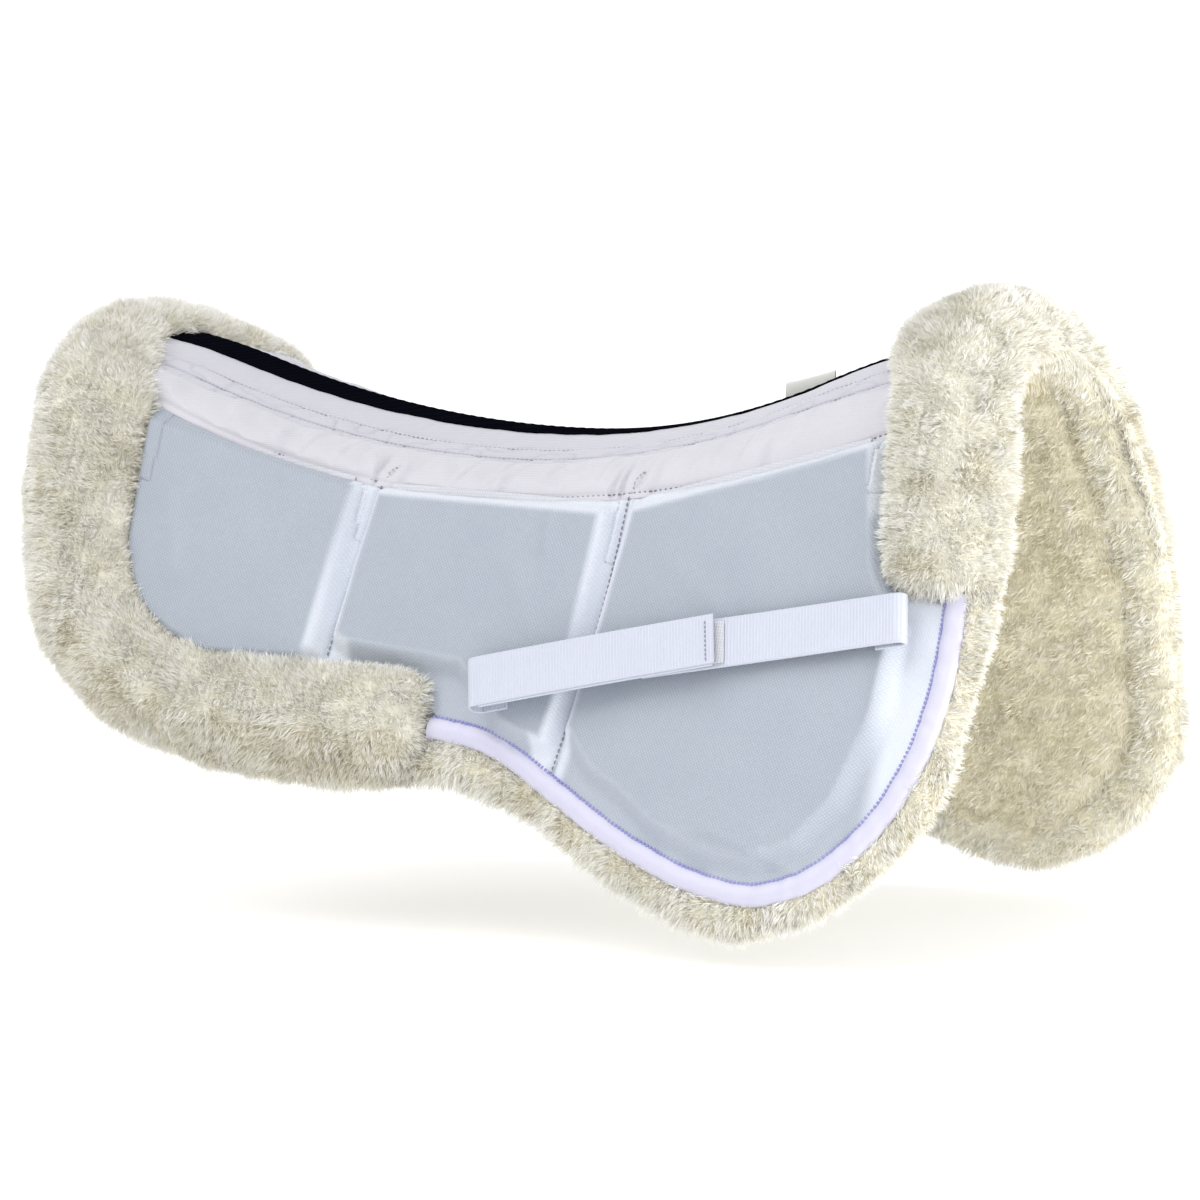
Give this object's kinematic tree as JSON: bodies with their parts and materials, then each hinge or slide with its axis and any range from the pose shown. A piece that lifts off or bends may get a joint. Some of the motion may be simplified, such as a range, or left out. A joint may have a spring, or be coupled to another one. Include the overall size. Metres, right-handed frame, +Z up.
{
  "type": "saddle half pad",
  "caption": "Sheepskin-lined half pad for an English saddle: two wings with shim pockets, wool rolls at both ends, a spine tape and webbing girth-strap loops",
  "frame": {"origin": "lowest point of the underside of the spine, where the pad rests on the horse's back line", "axes": "+X forward to the withers, +Y to the horse's left, +Z up"},
  "size_m": [0.563, 0.3424, 0.3177],
  "materials": {
    "lambskin": "dense clipped wool pile, cream white",
    "quilted_cotton": "finely woven cotton, light grey-blue, satin sheen",
    "white_cotton": "white woven cotton, soft matte",
    "black_webbing": "black woven tape, matte",
    "white_webbing": "white ribbed webbing",
    "satin_piping": "white satin binding with lavender thread",
    "hook_and_loop": "white hook-and-loop tape",
    "foam": "closed-cell foam sheet"
  },
  "bodies": {
    "spine": {"spine_web": "white_cotton", "spine_tape": "black_webbing", "pommel_bridge": "lambskin", "cantle_bridge": "lambskin", "label_tag": "white_cotton"},
    "right_wing": {"right_fleece_lining": "lambskin", "right_cover": "white_cotton", "right_spine_strip": "white_cotton", "right_mouth_band": "white_cotton", "right_pocket_rear": "quilted_cotton", "right_pocket_middle": "quilted_cotton", "right_pocket_front": "quilted_cotton", "right_hook_tape": "hook_and_loop", "right_pommel_roll": "lambskin", "right_cantle_roll": "lambskin", "right_piping": "satin_piping", "right_strap_fold_front": "white_webbing", "right_strap_fold_rear": "white_webbing"},
    "right_shim_rear_body": {"right_shim_rear": "foam"},
    "right_lip_rear_body": {"right_lip_rear": "quilted_cotton", "right_loop_tape_rear": "hook_and_loop"},
    "right_shim_middle_body": {"right_shim_middle": "foam"},
    "right_lip_middle_body": {"right_lip_middle": "quilted_cotton", "right_loop_tape_middle": "hook_and_loop"},
    "right_shim_front_body": {"right_shim_front": "foam"},
    "right_lip_front_body": {"right_lip_front": "quilted_cotton", "right_loop_tape_front": "hook_and_loop"},
    "right_strap_front_body": {"right_strap_front": "white_webbing", "right_strap_hook_patch": "hook_and_loop"},
    "right_strap_rear_body": {"right_strap_rear": "white_webbing", "right_strap_loop_patch": "hook_and_loop"},
    "left_wing": {"left_fleece_lining": "lambskin", "left_cover": "white_cotton", "left_spine_strip": "white_cotton", "left_mouth_band": "white_cotton", "left_pocket_rear": "quilted_cotton", "left_pocket_middle": "quilted_cotton", "left_pocket_front": "quilted_cotton", "left_hook_tape": "hook_and_loop", "left_pommel_roll": "lambskin", "left_cantle_roll": "lambskin", "left_piping": "satin_piping", "left_strap_fold_front": "white_webbing", "left_strap_fold_rear": "white_webbing"},
    "left_shim_rear_body": {"left_shim_rear": "foam"},
    "left_lip_rear_body": {"left_lip_rear": "quilted_cotton", "left_loop_tape_rear": "hook_and_loop"},
    "left_shim_middle_body": {"left_shim_middle": "foam"},
    "left_lip_middle_body": {"left_lip_middle": "quilted_cotton", "left_loop_tape_middle": "hook_and_loop"},
    "left_shim_front_body": {"left_shim_front": "foam"},
    "left_lip_front_body": {"left_lip_front": "quilted_cotton", "left_loop_tape_front": "hook_and_loop"},
    "left_strap_front_body": {"left_strap_front": "white_webbing", "left_strap_hook_patch": "hook_and_loop"},
    "left_strap_rear_body": {"left_strap_rear": "white_webbing", "left_strap_loop_patch": "hook_and_loop"}
  },
  "joints": [
    {"name": "right_wing_fold", "type": "hinge", "parent": "spine", "child": "right_wing", "pos_m": [0, 0, 0.032], "axis": [1, 0, 0], "range_deg": [-14, 16]},
    {"name": "right_shim_rear_slide", "type": "slide", "parent": "right_wing", "child": "right_shim_rear_body", "axis": [0, 0.3811, 0.9245], "range_m": [0, 0.095]},
    {"name": "right_lip_rear_fold", "type": "hinge", "parent": "right_wing", "child": "right_lip_rear_body", "pos_m": [-0.184, -0.10109, -0.01835], "axis": [0.9815, -0.0729, -0.1769], "range_deg": [0, 91]},
    {"name": "right_shim_middle_slide", "type": "slide", "parent": "right_wing", "child": "right_shim_middle_body", "axis": [0, 0.3811, 0.9245], "range_m": [0, 0.12]},
    {"name": "right_lip_middle_fold", "type": "hinge", "parent": "right_wing", "child": "right_lip_middle_body", "pos_m": [-0.058, -0.11023, -0.04054], "axis": [0.9993, -0.0142, -0.0345], "range_deg": [0, 115]},
    {"name": "right_shim_front_slide", "type": "slide", "parent": "right_wing", "child": "right_shim_front_body", "axis": [0, 0.3811, 0.9245], "range_m": [0, 0.12]},
    {"name": "right_lip_front_fold", "type": "hinge", "parent": "right_wing", "child": "right_lip_front_body", "pos_m": [0.084, -0.11138, -0.04331], "axis": [0.9592, 0.1077, 0.2612], "range_deg": [0, 115]},
    {"name": "right_strap_rear_open", "type": "hinge", "parent": "right_wing", "child": "right_strap_rear_body", "pos_m": [0.024, -0.15169, -0.10728], "axis": [0.2181, -0.3719, -0.9023], "range_deg": [0, 120]},
    {"name": "right_strap_front_open", "type": "hinge", "parent": "right_wing", "child": "right_strap_front_body", "pos_m": [0.247, -0.13001, -0.067], "axis": [-0.184, 0.3746, 0.9088], "range_deg": [0, 61]},
    {"name": "left_wing_fold", "type": "hinge", "parent": "spine", "child": "left_wing", "pos_m": [0, 0, 0.032], "axis": [-1, 0, 0], "range_deg": [-14, 16]},
    {"name": "left_shim_rear_slide", "type": "slide", "parent": "left_wing", "child": "left_shim_rear_body", "axis": [0, -0.3811, 0.9245], "range_m": [0, 0.095]},
    {"name": "left_lip_rear_fold", "type": "hinge", "parent": "left_wing", "child": "left_lip_rear_body", "pos_m": [-0.184, 0.10109, -0.01835], "axis": [-0.9815, -0.0729, 0.1769], "range_deg": [0, 91]},
    {"name": "left_shim_middle_slide", "type": "slide", "parent": "left_wing", "child": "left_shim_middle_body", "axis": [0, -0.3811, 0.9245], "range_m": [0, 0.12]},
    {"name": "left_lip_middle_fold", "type": "hinge", "parent": "left_wing", "child": "left_lip_middle_body", "pos_m": [-0.058, 0.11023, -0.04054], "axis": [-0.9993, -0.0142, 0.0345], "range_deg": [0, 115]},
    {"name": "left_shim_front_slide", "type": "slide", "parent": "left_wing", "child": "left_shim_front_body", "axis": [0, -0.3811, 0.9245], "range_m": [0, 0.12]},
    {"name": "left_lip_front_fold", "type": "hinge", "parent": "left_wing", "child": "left_lip_front_body", "pos_m": [0.084, 0.11138, -0.04331], "axis": [-0.9592, 0.1077, -0.2612], "range_deg": [0, 115]},
    {"name": "left_strap_rear_open", "type": "hinge", "parent": "left_wing", "child": "left_strap_rear_body", "pos_m": [0.024, 0.15169, -0.10728], "axis": [-0.2181, -0.3719, 0.9023], "range_deg": [0, 120]},
    {"name": "left_strap_front_open", "type": "hinge", "parent": "left_wing", "child": "left_strap_front_body", "pos_m": [0.247, 0.13001, -0.067], "axis": [0.184, 0.3746, -0.9088], "range_deg": [0, 61]}
  ],
  "couplings": [
    {"joint": "right_lip_rear_fold", "follows": "right_shim_rear_slide", "rad_per_m": 16.6},
    {"joint": "right_lip_middle_fold", "follows": "right_shim_middle_slide", "rad_per_m": 16.6},
    {"joint": "right_lip_front_fold", "follows": "right_shim_front_slide", "rad_per_m": 16.6},
    {"joint": "right_strap_front_open", "follows": "right_strap_rear_open", "ratio": 0.5},
    {"joint": "left_lip_rear_fold", "follows": "left_shim_rear_slide", "rad_per_m": 16.6},
    {"joint": "left_lip_middle_fold", "follows": "left_shim_middle_slide", "rad_per_m": 16.6},
    {"joint": "left_lip_front_fold", "follows": "left_shim_front_slide", "rad_per_m": 16.6},
    {"joint": "left_strap_front_open", "follows": "left_strap_rear_open", "ratio": 0.5}
  ]
}
